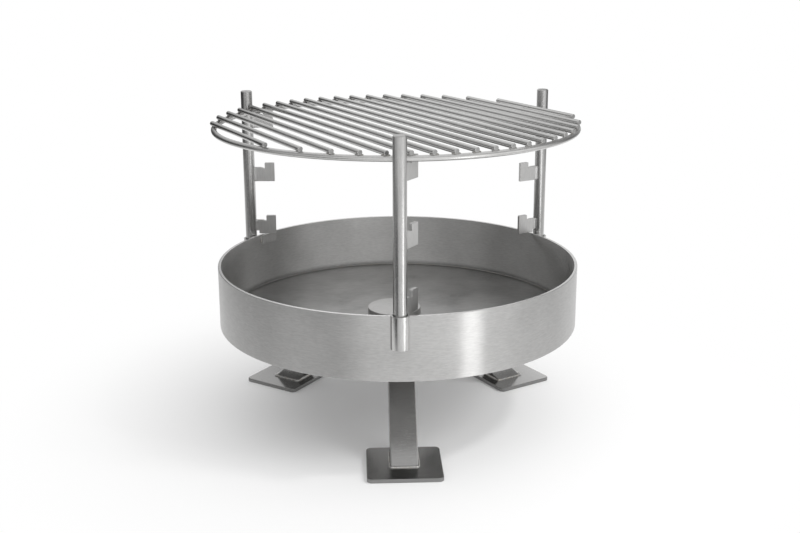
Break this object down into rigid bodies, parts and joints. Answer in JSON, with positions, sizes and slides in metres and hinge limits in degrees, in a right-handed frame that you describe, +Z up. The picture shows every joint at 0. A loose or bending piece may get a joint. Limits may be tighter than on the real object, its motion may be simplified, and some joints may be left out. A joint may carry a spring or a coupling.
{
  "type": "fire bowl grill",
  "caption": "Round steel fire bowl on leaning legs, with swivelling notched posts on its wall that carry a lift-off round rod grate at a choice of heights.",
  "frame": {"origin": "on the bowl's vertical axis, at ground level", "axes": "+Z up, -Y to the front (the side of the front post), +X to the right seen from the front"},
  "size_m": [0.6011, 0.627, 0.5275],
  "materials": {
    "bowl_wall": "brushed along its length",
    "bowl_floor": "brushed",
    "drain_cap": "brushed",
    "inner_wall_tab": "brushed along its length",
    "socket": "brushed",
    "socket_plug": "plain cut disc",
    "post": "fine turned bar",
    "bracket": "satin, blended at its welds",
    "grate_ring": "satin round bar",
    "grate_rod": "satin round bar",
    "leg": "brushed along its length",
    "foot_plate": "brushed, nearly polished"
  },
  "bodies": {
    "bowl": {"bowl_floor": "bowl_floor", "bowl_wall": "bowl_wall", "foot_plate_front": "foot_plate", "foot_plate_left": "foot_plate", "foot_plate_right": "foot_plate", "inner_wall_tab": "inner_wall_tab", "leg_front": "leg", "leg_left": "leg", "leg_right": "leg", "socket_front": "socket", "socket_left": "socket", "socket_plug_front": "socket_plug", "socket_plug_left": "socket_plug", "socket_plug_right": "socket_plug", "socket_right": "socket"},
    "front_post": {"bracket_front_lower": "bracket", "bracket_front_middle": "bracket", "bracket_front_upper": "bracket", "post_front": "post"},
    "left_post": {"bracket_left_lower": "bracket", "bracket_left_middle": "bracket", "bracket_left_upper": "bracket", "post_left": "post"},
    "right_post": {"bracket_right_lower": "bracket", "bracket_right_middle": "bracket", "bracket_right_upper": "bracket", "post_right": "post"},
    "grate": {"grate_ring": "grate_ring", "grate_rod_01": "grate_rod", "grate_rod_02": "grate_rod", "grate_rod_03": "grate_rod", "grate_rod_04": "grate_rod", "grate_rod_05": "grate_rod", "grate_rod_06": "grate_rod", "grate_rod_07": "grate_rod", "grate_rod_08": "grate_rod", "grate_rod_09": "grate_rod", "grate_rod_10": "grate_rod", "grate_rod_11": "grate_rod", "grate_rod_12": "grate_rod", "grate_rod_13": "grate_rod", "grate_rod_14": "grate_rod", "grate_rod_15": "grate_rod", "grate_rod_16": "grate_rod", "grate_rod_17": "grate_rod", "grate_rod_18": "grate_rod", "grate_rod_19": "grate_rod"},
    "drain_cap": {"drain_cap": "drain_cap"}
  },
  "joints": [
    {"name": "front_post_swivel", "type": "hinge", "parent": "bowl", "child": "front_post", "pos_m": [0.00328, -0.31298, 0.2645], "axis": [0, 0, 1], "range_deg": [0, 64]},
    {"name": "left_post_swivel", "type": "hinge", "parent": "bowl", "child": "left_post", "pos_m": [-0.26773, 0.16214, 0.2645], "axis": [0, 0, 1], "range_deg": [-64, 0]},
    {"name": "right_post_swivel", "type": "hinge", "parent": "bowl", "child": "right_post", "pos_m": [0.25979, 0.17457, 0.2645], "axis": [0, 0, 1], "range_deg": [-14, 23]},
    {"name": "grate_lift", "type": "slide", "parent": "bowl", "child": "grate", "axis": [0, 0, 1], "range_m": [0, 0.12]},
    {"name": "drain_cap_lift", "type": "slide", "parent": "bowl", "child": "drain_cap", "axis": [0, 0, 1], "range_m": [0, 0.06]}
  ]
}
